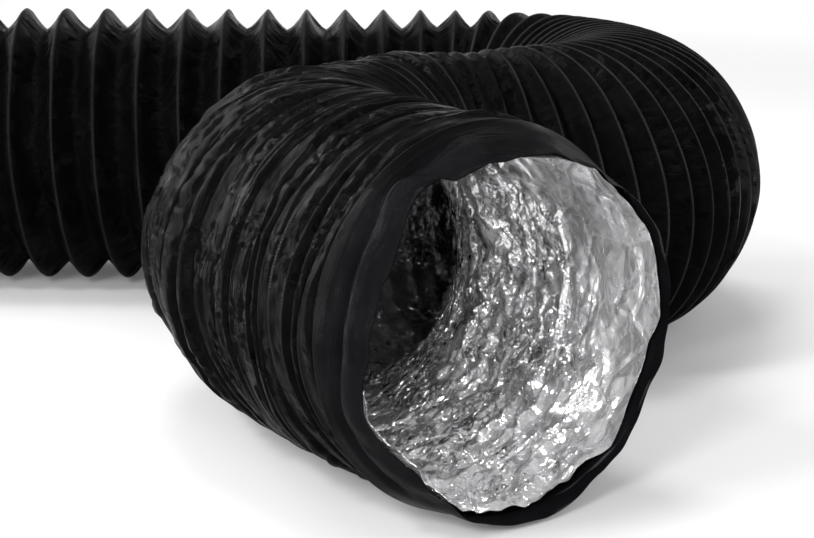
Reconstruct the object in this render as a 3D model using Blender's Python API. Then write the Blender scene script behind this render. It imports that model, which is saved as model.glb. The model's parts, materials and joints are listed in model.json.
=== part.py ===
"""Flexible air duct of 150 mm nominal size, partly pushed together and laid on a floor in an S.

Three layers share one route. A ribbed outer jacket of black film carries the shape, a spring-steel
wire winds inside its ridges, and a plainer foil liner forms the bore. The duct is a concertina: near
each end a stretch of it draws out and pushes in, and the next stretch lets the end swing sideways.
Between those stretches it lies in two bends and a straight back run, which keep still.

Lengths are metres and angles degrees. A place along the duct is given as a run, the distance along
the centreline from the mouth's end face, or as a turn, counted along the wire from its first point.
"""

import math

import bmesh
import bpy
from mathutils import Vector

# ------------------------------------------------------------------ the duct
DUCT_DIAMETER = 0.152          # over the wire's ridges
NOMINAL_LENGTH = 3.0           # of the duct drawn out straight
FULL_PITCH = 0.040             # of the wire when the duct is drawn out
TURNS = NOMINAL_LENGTH / FULL_PITCH
WIRE_DIAMETER = 0.0012
JACKET_WALL = 0.0009
LINER_WALL = 0.0006
CUFF_LENGTH = 0.014            # plain film past the wire's last turn, at each end
CUFF_STEP = 0.0012             # how far the cuff lies inside the ridges
FOLD_DEPTH = 0.0115            # deepest valley between two ridges
FOLD_SLOPE = 1.0               # depth of a fold over half its spacing

# ------------------------------------------------------------------ how it is laid
TAIL_HEADING = 180.0           # of the far end, about +Z from +X
MOUTH_STRAIGHT = 0.102         # from the mouth's end face to the first bend
LEFT_BEND_ANGLE = 107.7        # the first bend, clockwise from above
LEFT_BEND_INSIDE = 0.0143      # from the bend's centre to the inside of the duct
RIGHT_BEND_ANGLE = 162.3       # the second bend, anticlockwise from above
RIGHT_BEND_INSIDE = 0.0193
BEND_EASE = 0.024              # over which a bend tightens and opens again
BEND_SQUEEZE = 0.16            # how much the inside of a bend flattens
SQUEEZE_EASE = 0.030           # over which the flattening fades, beyond a bend

# ------------------------------------------------------------------ how far it is pushed together
MOUTH_PITCH = 0.0105
LEFT_BEND_PITCH = 0.0091
RIGHT_BEND_PITCH = 0.0088
BACK_PITCH = 0.0231            # towards the far end, where the duct is drawn out most
OPENING_RUN = 0.075            # of the second bend in which the pitch starts to grow
OPENING_TURNS = 3.5            # over which most of that growth happens

# ------------------------------------------------------------------ what moves, in turns
MOUTH_END_TURNS = 1.5
MOUTH_SWING_TURNS = 3.5
MOUTH_STRETCH_TURNS = 3.3
TAIL_STRETCH_TURNS = 5.0
TAIL_SWING_TURNS = 4.5
TAIL_END_TURNS = 1.5

# ------------------------------------------------------------------ clearances and fineness
SEAT_GAP = 0.0003              # between pieces that touch
LINER_CLEARANCE = 0.0006       # between the liner and the deepest fold
FLOOR_CUT = 0.0005             # how deep the ridges are cut flat where they rest on the floor
SIDES = 10                     # columns of points round the duct
LEFT_BEND_CUT_COLUMN = 6       # where the wire ends with the first bend, counted round from the underside
MIDDLE_CUT_COLUMN = 7          # halfway along the second bend
RIGHT_BEND_CUT_COLUMN = 1      # at its end
MARCH_STEP = 0.0005            # of the route's integration
LINER_STEP = 0.024             # between the liner's rings on a straight
LINER_BEND_STEP = 0.017        # and in a bend
LONGEST_LINER_STEP = 1.3       # of a section's last ring, in the steps above
END_MARGIN = 0.08              # turns from a section's end in which no further point is set
CUFF_SHARE = 0.9               # of a cuff that is plain right round, before the wire's first turn
CUFF_STEEP_SHARE = 0.5         # of a cuff in which the liner lies close inside the film
HALVINGS = 40                  # to find the turn at a run
TURN_ERROR = 1e-9              # less than this apart, two turns are one
SMOOTH_ANGLE = 35.0

MATERIALS = {                  # base colour, roughness, metallic
    "jacket": ((0.012, 0.012, 0.014), 0.38, 0.0),
    "wire": ((0.45, 0.45, 0.46), 0.30, 1.0),
    "liner": ((0.80, 0.81, 0.82), 0.22, 1.0),
}

# ------------------------------------------------------------------ worked out from the above
MOUTH_HEADING = TAIL_HEADING + LEFT_BEND_ANGLE - RIGHT_BEND_ANGLE
COLUMN_ANGLE = 2 * math.pi / SIDES
FIRST_COLUMN = -math.pi / 2 + COLUMN_ANGLE / 2      # two columns stand either side of the underside
EQUAL_AREA = math.sqrt(COLUMN_ANGLE / math.sin(COLUMN_ANGLE))
RIDGE_RADIUS = DUCT_DIAMETER / 2 * EQUAL_AREA
AXIS_HEIGHT = RIDGE_RADIUS * math.cos(COLUMN_ANGLE / 2) - FLOOR_CUT
WIRE_RADIUS = WIRE_DIAMETER / 2
FOLD_HYPOTENUSE = math.hypot(1.0, FOLD_SLOPE)
WIRE_INSET = JACKET_WALL + WIRE_RADIUS + SEAT_GAP * FOLD_HYPOTENUSE
INSIDE_REACH = RIDGE_RADIUS * (1 - BEND_SQUEEZE)
LEFT_BEND_RADIUS = LEFT_BEND_INSIDE + INSIDE_REACH
RIGHT_BEND_RADIUS = RIGHT_BEND_INSIDE + INSIDE_REACH
LEFT_BEND_RUN = LEFT_BEND_RADIUS * math.radians(LEFT_BEND_ANGLE) + BEND_EASE
RIGHT_BEND_RUN = RIGHT_BEND_RADIUS * math.radians(RIGHT_BEND_ANGLE) + BEND_EASE
LEFT_BEND_START = MOUTH_STRAIGHT
RIGHT_BEND_START = LEFT_BEND_START + LEFT_BEND_RUN
RIGHT_BEND_END = RIGHT_BEND_START + RIGHT_BEND_RUN
RIGHT_BEND_MIDDLE = (RIGHT_BEND_START + RIGHT_BEND_END) / 2

# run and turn at which each pitch takes over from the one before
PITCHES = (MOUTH_PITCH, LEFT_BEND_PITCH, RIGHT_BEND_PITCH)
PITCH_RUNS = (CUFF_LENGTH, LEFT_BEND_START, RIGHT_BEND_START, RIGHT_BEND_END - OPENING_RUN)


def pitch_turns():
    """The turn at which each of PITCH_RUNS lies."""
    turns = [0.0]
    for pitch, start, end in zip(PITCHES, PITCH_RUNS, PITCH_RUNS[1:]):
        turns.append(turns[-1] + (end - start) / pitch)
    return turns


PITCH_TURNS = pitch_turns()


def pitch_at(turn):
    """Distance along the centreline from one turn of the wire to the next."""
    for pitch, end in zip(PITCHES, PITCH_TURNS[1:]):
        if turn < end:
            return pitch
    growth = 1 - math.exp(-(turn - PITCH_TURNS[-1]) / OPENING_TURNS)
    return PITCHES[-1] + (BACK_PITCH - PITCHES[-1]) * growth


def run_at(turn):
    """How far along the centreline a turn of the wire lies."""
    for pitch, start, end, run in zip(PITCHES, PITCH_TURNS, PITCH_TURNS[1:], PITCH_RUNS):
        if turn < end:
            return run + (turn - start) * pitch
    opened = turn - PITCH_TURNS[-1]
    lag = (BACK_PITCH - PITCHES[-1]) * OPENING_TURNS * (1 - math.exp(-opened / OPENING_TURNS))
    return PITCH_RUNS[-1] + BACK_PITCH * opened - lag


def turn_at(run):
    """The turn that lies at a run, found by halving."""
    low, high = 0.0, TURNS
    for _ in range(HALVINGS):
        middle = (low + high) / 2
        if run_at(middle) < run:
            low = middle
        else:
            high = middle
    return low


TOTAL_RUN = run_at(TURNS) + CUFF_LENGTH


def smoothstep(x):
    x = min(1.0, max(0.0, x))
    return x * x * (3 - 2 * x)


def bend_share(run, start, length, ease):
    """1 along a bend, falling to 0 in a straight line over ease inside each of its ends."""
    return min(1.0, max(0.0, min(run - start, start + length - run) / ease))


def curvature(run):
    """Of the centreline: positive where the duct turns left, seen from above."""
    left = bend_share(run, LEFT_BEND_START, LEFT_BEND_RUN, BEND_EASE) / LEFT_BEND_RADIUS
    right = bend_share(run, RIGHT_BEND_START, RIGHT_BEND_RUN, BEND_EASE) / RIGHT_BEND_RADIUS
    return right - left


def squeeze(run, to_left):
    """How much the duct is flattened on its left or right side, which lies inside one bend each."""
    start, length = (RIGHT_BEND_START, RIGHT_BEND_RUN) if to_left else (LEFT_BEND_START, LEFT_BEND_RUN)
    spread = bend_share(run, start - SQUEEZE_EASE, length + 2 * SQUEEZE_EASE, SQUEEZE_EASE)
    return BEND_SQUEEZE * smoothstep(spread)


def march_route():
    """Centre and heading every MARCH_STEP along the route."""
    stations = []
    centre = Vector((0.0, 0.0, AXIS_HEIGHT))
    heading = math.radians(MOUTH_HEADING)
    for index in range(int(TOTAL_RUN / MARCH_STEP) + 2):
        stations.append((centre.copy(), heading))
        turning = curvature((index + 0.5) * MARCH_STEP) * MARCH_STEP
        middle = heading + turning / 2
        centre += MARCH_STEP * Vector((math.cos(middle), math.sin(middle), 0.0))
        heading += turning
    return stations


STATIONS = march_route()


def centre_at(run):
    """Centre, forward and left directions of the duct."""
    index = min(max(int(run / MARCH_STEP), 0), len(STATIONS) - 2)
    share = run / MARCH_STEP - index
    (centre, heading), (next_centre, next_heading) = STATIONS[index], STATIONS[index + 1]
    angle = heading + (next_heading - heading) * share
    forward = Vector((math.cos(angle), math.sin(angle), 0.0))
    left = Vector((-math.sin(angle), math.cos(angle), 0.0))
    return centre.lerp(next_centre, share), forward, left


def across_at(run, angle, inset):
    """Sideways distance from the centreline, at an angle counted from the left side up."""
    reach = (RIDGE_RADIUS - inset) * math.cos(angle)
    return reach * (1 - squeeze(run, reach > 0))


def point_at(run, angle, inset, ahead=0.0):
    """A point that lies inset inside the ridges' surface."""
    centre, forward, left = centre_at(run)
    up = Vector((0.0, 0.0, (RIDGE_RADIUS - inset) * math.sin(angle)))
    return centre + left * across_at(run, angle, inset) + up + forward * ahead


def fold_depth(run, turn, angle):
    """Depth of the valley at a place: folds lie closer and shallower on the inside of a bend."""
    spacing = pitch_at(turn) * (1 - curvature(run) * across_at(run, angle, 0.0))
    return min(FOLD_DEPTH, FOLD_SLOPE * spacing / 2)


def column_angle(column):
    return FIRST_COLUMN + column * COLUMN_ANGLE


# ------------------------------------------------------------------ sections
class Section:
    """One stretch of the duct, from one turn to another; an end stretch also has its cuff."""

    def __init__(self, name, first_turn, last_turn):
        self.name = name
        self.first_turn = first_turn
        self.last_turn = last_turn
        self.has_mouth = first_turn <= 0.0
        self.has_tail = last_turn >= TURNS
        self.first_run = 0.0 if self.has_mouth else run_at(first_turn) + SEAT_GAP / 2
        self.last_run = TOTAL_RUN if self.has_tail else run_at(last_turn) - SEAT_GAP / 2

    def middle(self):
        """Where the centreline passes halfway along the section."""
        return centre_at((self.first_run + self.last_run) / 2)[0]


def cut_turn_at(run, column):
    """The turn nearest a run at which the wire passes a column, so that a cut keeps its side of the duct."""
    return round(turn_at(run) - column / SIDES) + column / SIDES


def make_sections():
    """All sections in order along the duct, by name."""
    mouth_stretch_start = MOUTH_END_TURNS + MOUTH_SWING_TURNS
    tail_swing_start = TURNS - TAIL_END_TURNS - TAIL_SWING_TURNS
    last_turns = {
        "mouth_end": MOUTH_END_TURNS,
        "mouth_swing": mouth_stretch_start,
        "mouth_stretch": mouth_stretch_start + MOUTH_STRETCH_TURNS,
        "left_bend": cut_turn_at(RIGHT_BEND_START, LEFT_BEND_CUT_COLUMN),
        "right_bend_near": cut_turn_at(RIGHT_BEND_MIDDLE, MIDDLE_CUT_COLUMN),
        "right_bend_far": cut_turn_at(RIGHT_BEND_END, RIGHT_BEND_CUT_COLUMN),
        "back_run": tail_swing_start - TAIL_STRETCH_TURNS,
        "tail_stretch": tail_swing_start,
        "tail_swing": TURNS - TAIL_END_TURNS,
        "tail_end": TURNS,
    }
    sections = {}
    turn = 0.0
    for name, last_turn in last_turns.items():
        sections[name] = Section(name, turn, last_turn)
        turn = last_turn
    return sections


# ------------------------------------------------------------------ jacket
def ridge_share(turn, column):
    """0 on a ridge and 1 in a valley, for a column of points."""
    phase = (turn - column / SIDES) % 1.0
    return 1 - abs(1 - 2 * phase)


def end_inset(section, column, at_mouth):
    """Inset of the jacket's edge where a section ends."""
    if (section.has_mouth if at_mouth else section.has_tail):
        return CUFF_STEP
    turn = section.first_turn if at_mouth else section.last_turn
    run = section.first_run if at_mouth else section.last_run
    return ridge_share(turn, column) * fold_depth(run, turn, column_angle(column))


def jacket_column(section, column):
    """Key, run and inset of each point of a column: its two ends, and the ridges and valleys between."""
    angle = column_angle(column)
    first_margin = 0.0 if section.has_mouth else END_MARGIN
    last_margin = 0.0 if section.has_tail else END_MARGIN
    points = [(-math.inf, section.first_run, end_inset(section, column, True))]
    if section.has_mouth:
        points.append((-TURNS, CUFF_LENGTH * CUFF_SHARE, CUFF_STEP))
    fold = math.ceil(2 * (section.first_turn + first_margin - column / SIDES - TURN_ERROR))
    while fold / 2 + column / SIDES <= section.last_turn - last_margin + TURN_ERROR:
        turn = fold / 2 + column / SIDES
        run = run_at(turn)
        inset = fold_depth(run, turn, angle) if fold % 2 else 0.0
        if turn >= 0.0:
            points.append((fold / 2, run, inset))
        fold += 1
    if section.has_tail:
        points.append((2 * TURNS, TOTAL_RUN - CUFF_LENGTH * CUFF_SHARE, CUFF_STEP))
    points.append((math.inf, section.last_run, end_inset(section, column, False)))
    return points


def add_strip(mesh, first, second, second_lag):
    """Triangles between two columns, matched by their keys. The wire gains a turn once round."""
    i = j = 0
    while i < len(first) - 1 or j < len(second) - 1:
        next_first = first[i + 1][0] if i < len(first) - 1 else math.inf
        next_second = second[j + 1][0] - second_lag if j < len(second) - 1 else math.inf
        if j < len(second) - 1 and (next_second <= next_first or i == len(first) - 1):
            mesh.faces.new((first[i][1], second[j][1], second[j + 1][1]))
            j += 1
        else:
            mesh.faces.new((first[i][1], second[j][1], first[i + 1][1]))
            i += 1


def add_skin(mesh, section, depth):
    """The jacket's surface, at a depth into its wall. Returns the rings at its two ends."""
    columns = []
    for column in range(SIDES):
        angle = column_angle(column)
        columns.append([
            (key, mesh.verts.new(point_at(run, angle, inset + depth)))
            for key, run, inset in jacket_column(section, column)
        ])
    for column in range(SIDES):
        wraps = column == SIDES - 1
        add_strip(mesh, columns[column], columns[0 if wraps else column + 1], 1.0 if wraps else 0.0)
    return [points[0][1] for points in columns], [points[-1][1] for points in columns]


def join_rings(mesh, outer, inner):
    """The flat ring of faces that closes a wall at its end."""
    for index in range(len(outer)):
        after = (index + 1) % len(outer)
        mesh.faces.new((outer[index], outer[after], inner[after], inner[index]))


def cut_flat(mesh):
    """Cut away what reaches below the floor, and close the cuts."""
    everything = mesh.verts[:] + mesh.edges[:] + mesh.faces[:]
    up = Vector((0.0, 0.0, 1.0))
    bmesh.ops.bisect_plane(mesh, geom=everything, dist=1e-7, plane_co=Vector(), plane_no=up, clear_inner=True)
    rims = [edge for edge in mesh.edges if edge.is_boundary]
    bmesh.ops.holes_fill(mesh, edges=rims)


def jacket_mesh(section):
    mesh = bmesh.new()
    outer_rings = add_skin(mesh, section, 0.0)
    inner_rings = add_skin(mesh, section, JACKET_WALL)
    for outer, inner in zip(outer_rings, inner_rings):
        join_rings(mesh, outer, inner)
    cut_flat(mesh)
    return mesh


# ------------------------------------------------------------------ wire
def wire_corners(turn):
    """The four corners of the wire where it passes a turn, on the straight chord between two columns."""
    before = math.floor((turn + TURN_ERROR) * SIDES)
    share = turn * SIDES - before
    corners = []
    for inset, ahead in ((-1, 0), (0, 1), (1, 0), (0, -1)):
        ends = [
            point_at(
                run_at(step / SIDES),
                column_angle(step % SIDES),
                WIRE_INSET + inset * WIRE_RADIUS,
                ahead * WIRE_RADIUS,
            )
            for step in (before, before + 1)
        ]
        corners.append(ends[0].lerp(ends[1], share))
    return corners


def wire_turns(section):
    """The turns at which the wire's points lie: its two ends and every column that it passes."""
    end_gap = SEAT_GAP / 2 / (math.pi * DUCT_DIAMETER)
    first = section.first_turn + (0.0 if section.has_mouth else end_gap)
    last = section.last_turn - (0.0 if section.has_tail else end_gap)
    steps = range(math.floor((first + TURN_ERROR) * SIDES) + 1, math.ceil((last - TURN_ERROR) * SIDES))
    return [first] + [step / SIDES for step in steps] + [last]


def wire_mesh(section):
    mesh = bmesh.new()
    rings = [[mesh.verts.new(corner) for corner in wire_corners(turn)] for turn in wire_turns(section)]
    for ring, following in zip(rings, rings[1:]):
        join_rings(mesh, ring, following)
    mesh.faces.new(rings[0])
    mesh.faces.new(rings[-1])
    return mesh


def wire_gap():
    """The least gap between one turn of the wire and the next."""
    steps = range(int((TURNS - 1) * SIDES))
    distances = []
    for step in steps:
        angle = column_angle(step % SIDES)
        here = point_at(run_at(step / SIDES), angle, WIRE_INSET)
        there = point_at(run_at(step / SIDES + 1), angle, WIRE_INSET)
        distances.append((here - there).length)
    return min(distances) - WIRE_DIAMETER


# ------------------------------------------------------------------ liner
def deepest_fold(turn):
    """Depth of the folds on the outer side of the bend, or all round on a straight."""
    run = run_at(turn)
    outside = math.pi if curvature(run) > 0 else 0.0
    return fold_depth(run, turn, outside)


def liner_inset(run, turn):
    """How far the liner lies inside the ridges: below the folds, and close inside the cuffs."""
    shallow = JACKET_WALL + CUFF_STEP + SEAT_GAP
    near_turns = (turn - 1, turn - 0.5, turn, turn + 0.5, turn + 1)
    folds = max(deepest_fold(min(max(near, 0.0), TURNS)) for near in near_turns)
    deep = folds + JACKET_WALL + LINER_CLEARANCE
    in_cuff = max(CUFF_LENGTH - run, run - TOTAL_RUN + CUFF_LENGTH)
    share = smoothstep((in_cuff / CUFF_LENGTH - 1 + CUFF_SHARE) / (CUFF_SHARE - CUFF_STEEP_SHARE))
    return deep + (shallow - deep) * share


def liner_runs(section):
    """Where the liner's rings lie: closer in the bends, and at the steps inside the cuffs."""
    runs = [section.first_run]
    if section.has_mouth:
        runs += [CUFF_LENGTH * CUFF_STEEP_SHARE, CUFF_LENGTH * CUFF_SHARE]
    last = section.last_run
    if section.has_tail:
        last = TOTAL_RUN - CUFF_LENGTH * CUFF_SHARE
    while True:
        in_bend = curvature(runs[-1] + BEND_EASE / 2) != 0.0
        step = LINER_BEND_STEP if in_bend else LINER_STEP
        if runs[-1] + step * LONGEST_LINER_STEP > last:
            break
        runs.append(runs[-1] + step)
    if section.has_tail:
        runs += [last, TOTAL_RUN - CUFF_LENGTH * CUFF_STEEP_SHARE]
    runs.append(section.last_run)
    return runs


def liner_mesh(section):
    mesh = bmesh.new()
    skins = []
    for depth in (0.0, LINER_WALL):
        rings = []
        for run in liner_runs(section):
            inset = liner_inset(run, turn_at(run)) + depth
            rings.append([
                mesh.verts.new(point_at(run, column_angle(column), inset)) for column in range(SIDES)
            ])
        for ring, following in zip(rings, rings[1:]):
            join_rings(mesh, ring, following)
        skins.append(rings)
    join_rings(mesh, skins[0][0], skins[1][0])
    join_rings(mesh, skins[0][-1], skins[1][-1])
    return mesh


LAYERS = {"jacket": jacket_mesh, "wire": wire_mesh, "liner": liner_mesh}


# ------------------------------------------------------------------ objects
def clear_scene():
    for thing in list(bpy.data.objects):
        bpy.data.objects.remove(thing, do_unlink=True)


def make_materials():
    made = {}
    for name, (colour, roughness, metallic) in MATERIALS.items():
        material = bpy.data.materials.new(name)
        material.use_nodes = True
        shader = material.node_tree.nodes["Principled BSDF"]
        shader.inputs["Base Color"].default_value = (*colour, 1.0)
        shader.inputs["Roughness"].default_value = roughness
        shader.inputs["Metallic"].default_value = metallic
        made[name] = material
    return made


def add_axis(name, place, parent):
    """An empty on a joint's axis, which carries what the joint moves."""
    empty = bpy.data.objects.new(name, None)
    empty.empty_display_size = DUCT_DIAMETER / 4
    bpy.context.collection.objects.link(empty)
    empty.parent = parent
    empty.location = place if parent is None else place - axis_place(parent)
    return empty


def axis_place(empty):
    """Where an axis lies in the duct's own layout."""
    return Vector() if empty is None else empty.location + axis_place(empty.parent)


def add_layer(layer, section, carrier, material):
    """One layer of one section, with its origin on the axis that carries it."""
    origin = axis_place(carrier)
    mesh = LAYERS[layer](section)
    bmesh.ops.recalc_face_normals(mesh, faces=mesh.faces[:])
    bmesh.ops.triangulate(mesh, faces=mesh.faces[:])
    bmesh.ops.translate(mesh, verts=mesh.verts[:], vec=-origin)
    data = bpy.data.meshes.new(f"{layer}_{section.name}")
    mesh.to_mesh(data)
    mesh.free()
    data.shade_smooth()
    data.set_sharp_from_angle(angle=math.radians(SMOOTH_ANGLE))
    data.materials.append(material)
    thing = bpy.data.objects.new(data.name, data)
    bpy.context.collection.objects.link(thing)
    thing.parent = carrier
    return thing


def floor_centre(things):
    """Middle of the underside of the box around all solids, in the duct's own layout."""
    bpy.context.view_layer.update()
    points = [thing.matrix_world @ vertex.co for thing in things for vertex in thing.data.vertices]
    lows = [min(point[axis] for point in points) for axis in range(3)]
    highs = [max(point[axis] for point in points) for axis in range(3)]
    return Vector(((lows[0] + highs[0]) / 2, (lows[1] + highs[1]) / 2, lows[2]))


def main():
    clear_scene()
    materials = make_materials()
    sections = make_sections()

    duct = add_axis("duct_axis", Vector(), None)
    mouth_slide = add_axis("mouth_slide_axis", sections["mouth_stretch"].middle(), duct)
    mouth_swing = add_axis("mouth_swing_axis", sections["mouth_swing"].middle(), mouth_slide)
    tail_slide = add_axis("tail_slide_axis", sections["tail_stretch"].middle(), duct)
    tail_swing = add_axis("tail_swing_axis", sections["tail_swing"].middle(), tail_slide)
    carriers = {
        "mouth_end": mouth_swing,
        "mouth_swing": mouth_slide,
        "tail_swing": tail_slide,
        "tail_end": tail_swing,
    }

    solids = []
    for name, section in sections.items():
        for layer, material in materials.items():
            solids.append(add_layer(layer, section, carriers.get(name, duct), material))
    duct.location = -floor_centre(solids)

    print(f"turns of the wire: {TURNS:.1f}, laid over {TOTAL_RUN:.3f} m")
    print(f"least gap between the wire's turns: {wire_gap() * 1000:.2f} mm")


main()
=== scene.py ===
"""Looks of the flexible air duct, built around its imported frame.

The film jacket, the wire in its ridges and the foil liner follow the part's own route. Each stretch
of each layer is one piece that stands for the CAD node of the same name. Its ridges lie in the same
places, and it is round where the CAD solid has ten sides. The finer shape is added here: crumpled
film, pleated foil, the loose cuff and the torn edge of the liner.

Lengths are metres. A run is a distance along the centreline from the mouth's end, a turn is counted
along the wire, and an angle goes round the duct from its left side up. An inset is a depth inside
the surface that the ridges touch, and ahead is a shift along the duct, away from the mouth.
"""

import json
import math

import bpy
import numpy as np
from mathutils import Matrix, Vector, noise


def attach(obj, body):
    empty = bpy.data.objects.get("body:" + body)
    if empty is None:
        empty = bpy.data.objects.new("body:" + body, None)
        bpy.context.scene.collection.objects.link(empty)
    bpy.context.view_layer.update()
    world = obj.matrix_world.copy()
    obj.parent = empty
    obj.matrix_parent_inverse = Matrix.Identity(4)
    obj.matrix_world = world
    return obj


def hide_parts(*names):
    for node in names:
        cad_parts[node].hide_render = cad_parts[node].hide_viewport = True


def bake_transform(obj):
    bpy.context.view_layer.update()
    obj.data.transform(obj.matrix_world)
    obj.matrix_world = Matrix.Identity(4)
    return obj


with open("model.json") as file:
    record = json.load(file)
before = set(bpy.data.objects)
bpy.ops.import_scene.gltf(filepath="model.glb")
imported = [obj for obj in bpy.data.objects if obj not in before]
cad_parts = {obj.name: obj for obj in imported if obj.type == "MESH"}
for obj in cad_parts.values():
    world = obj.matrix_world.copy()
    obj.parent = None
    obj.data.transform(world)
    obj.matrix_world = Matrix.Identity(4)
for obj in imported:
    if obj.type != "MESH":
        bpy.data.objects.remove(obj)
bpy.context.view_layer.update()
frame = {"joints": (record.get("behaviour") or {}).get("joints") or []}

# ---- the duct, as the part has it
DUCT_DIAMETER = 0.152
TURNS = 75.0
CUFF_LENGTH = 0.014
FOLD_DEPTH = 0.0115
FOLD_SLOPE = 1.0
TAIL_HEADING = 180.0
MOUTH_STRAIGHT = 0.102
LEFT_BEND_ANGLE = 107.7
RIGHT_BEND_ANGLE = 162.3
LEFT_BEND_RADIUS = 0.0803
RIGHT_BEND_RADIUS = 0.0853
BEND_EASE = 0.024
BEND_SQUEEZE = 0.16
SQUEEZE_EASE = 0.030
MOUTH_PITCH = 0.0105
LEFT_BEND_PITCH = 0.0091
RIGHT_BEND_PITCH = 0.0088
BACK_PITCH = 0.0231
OPENING_RUN = 0.075
OPENING_TURNS = 3.5
FIRST_ANGLE = math.radians(-72.0)  # where the wire starts, near the underside
MARCH_STEP = 0.0005
LEAD_STEPS = 60  # of the march before the mouth
SIDES = 10  # of the CAD's solids

RADIUS = DUCT_DIAMETER / 2
FLATTENED = 0.0005  # of the ridges, where they rest on the floor
AXIS_HEIGHT = RADIUS - FLATTENED
FULL_ANGLE = 2 * math.pi
SPARE_TURNS = 3.0  # counted past each end of the wire, for the cuffs

# ---- the layers
FILM_WALL = 0.0004
FOIL_WALL = 0.0002
WIRE_RADIUS = 0.0006
WIRE_INSET = FILM_WALL + WIRE_RADIUS + 0.0001
TIP_RADIUS = 0.0008  # of the film where it wraps the wire
SMOOTH_FOIL_ANGLE = 150.0  # where the foil is least crumpled, at the mouth
SMOOTH_FOIL_START = 0.012  # run that this place reaches all the way round
SMOOTH_FOIL_RUN = 0.052  # and how much deeper it reaches at that angle


def smoothstep(x):
    """0 up to 0, 1 from 1 on, and a smooth rise between."""
    x = np.clip(x, 0.0, 1.0)
    return x * x * (3 - 2 * x)


def bell(distance, width):
    """1 at a distance of 0, falling to 1/e at the width."""
    return np.exp(-((distance / width) ** 2))


def share_of(angle):
    """How much of a turn the wire makes from its start to an angle."""
    return (angle - FIRST_ANGLE) / FULL_ANGLE


def angle_of(share):
    return FIRST_ANGLE + FULL_ANGLE * share


# ---- route
LEFT_BEND_RUN = LEFT_BEND_RADIUS * math.radians(LEFT_BEND_ANGLE) + BEND_EASE
RIGHT_BEND_RUN = RIGHT_BEND_RADIUS * math.radians(RIGHT_BEND_ANGLE) + BEND_EASE
LEFT_BEND_START = MOUTH_STRAIGHT
RIGHT_BEND_START = LEFT_BEND_START + LEFT_BEND_RUN
RIGHT_BEND_END = RIGHT_BEND_START + RIGHT_BEND_RUN
PITCHES = np.array((MOUTH_PITCH, LEFT_BEND_PITCH, RIGHT_BEND_PITCH))
OPENING_START = RIGHT_BEND_END - OPENING_RUN
PITCH_RUNS = np.array((CUFF_LENGTH, LEFT_BEND_START, RIGHT_BEND_START, OPENING_START))
PITCH_TURNS = np.concatenate(([0.0], np.cumsum(np.diff(PITCH_RUNS) / PITCHES)))


def pitch_at(turn):
    """Distance along the centreline from one turn of the wire to the next."""
    growth = 1 - np.exp(-np.maximum(turn - PITCH_TURNS[-1], 0.0) / OPENING_TURNS)
    opened = PITCHES[-1] + (BACK_PITCH - PITCHES[-1]) * growth
    section = np.searchsorted(PITCH_TURNS, turn, side="right") - 1
    even = PITCHES[np.clip(section, 0, len(PITCHES) - 1)]
    return np.where(turn < PITCH_TURNS[-1], even, opened)


def run_at(turn):
    """How far along the centreline a turn of the wire lies. The cuff counts as turns below 0."""
    opened = np.maximum(turn - PITCH_TURNS[-1], 0.0)
    lag = (BACK_PITCH - PITCHES[-1]) * OPENING_TURNS * (1 - np.exp(-opened / OPENING_TURNS))
    even = np.interp(turn, PITCH_TURNS, PITCH_RUNS) + np.minimum(turn, 0.0) * MOUTH_PITCH
    return np.where(opened > 0, PITCH_RUNS[-1] + BACK_PITCH * opened - lag, even)


TOTAL_RUN = float(run_at(TURNS)) + CUFF_LENGTH
KNOWN_TURNS = np.linspace(-SPARE_TURNS, TURNS + SPARE_TURNS, 20000)
KNOWN_RUNS = run_at(KNOWN_TURNS)


def turn_at(run):
    """The turn that lies at a run, from the table above."""
    return np.interp(run, KNOWN_RUNS, KNOWN_TURNS)


def column_turn_at(run):
    """The turn nearest to a run that lies on a whole side of the CAD's solids."""
    return round(float(turn_at(run)) * SIDES) / SIDES


# name of each stretch: rows of film for each turn, columns of film
FILM_GRIDS = {
    "mouth_end": (12, 288),
    "mouth_swing": (12, 288),
    "mouth_stretch": (12, 288),
    "left_bend": (10, 288),
    "right_bend_near": (8, 216),
    "right_bend_far": (8, 216),
    "back_run": (14, 180),
    "tail_stretch": (12, 144),
    "tail_swing": (12, 144),
    "tail_end": (12, 144),
}
LAID_FOIL_GRID = (6, 96)  # of the foil deep inside, where it is hardly seen
LAID_NAMES = ("left_bend", "right_bend_near", "right_bend_far", "back_run")

# the turns where the stretches start and end, with None for the film's own edges
CUT_TURNS = (
    None, 1.5, 5.0, 8.3,
    column_turn_at(RIGHT_BEND_START),
    column_turn_at((RIGHT_BEND_START + RIGHT_BEND_END) / 2),
    column_turn_at(RIGHT_BEND_END),
    64.0, 69.0, 73.5, None,
)
STRETCHES = dict(zip(FILM_GRIDS, zip(CUT_TURNS, CUT_TURNS[1:])))


def bend_share(run, start, length, ease):
    """1 along a bend, falling to 0 in a straight line over ease inside each of its ends."""
    return np.clip(np.minimum(run - start, start + length - run) / ease, 0.0, 1.0)


def curvature(run):
    """Of the centreline: positive where the duct turns left, seen from above."""
    left = bend_share(run, LEFT_BEND_START, LEFT_BEND_RUN, BEND_EASE) / LEFT_BEND_RADIUS
    right = bend_share(run, RIGHT_BEND_START, RIGHT_BEND_RUN, BEND_EASE) / RIGHT_BEND_RADIUS
    return right - left


def squeeze(run, to_left):
    """How much the duct is flattened on its left or right side, which lies inside one bend each."""
    right, left = (
        bend_share(run, start - SQUEEZE_EASE, length + 2 * SQUEEZE_EASE, SQUEEZE_EASE)
        for start, length in ((LEFT_BEND_START, LEFT_BEND_RUN), (RIGHT_BEND_START, RIGHT_BEND_RUN))
    )
    return BEND_SQUEEZE * smoothstep(np.where(to_left, left, right))


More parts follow.
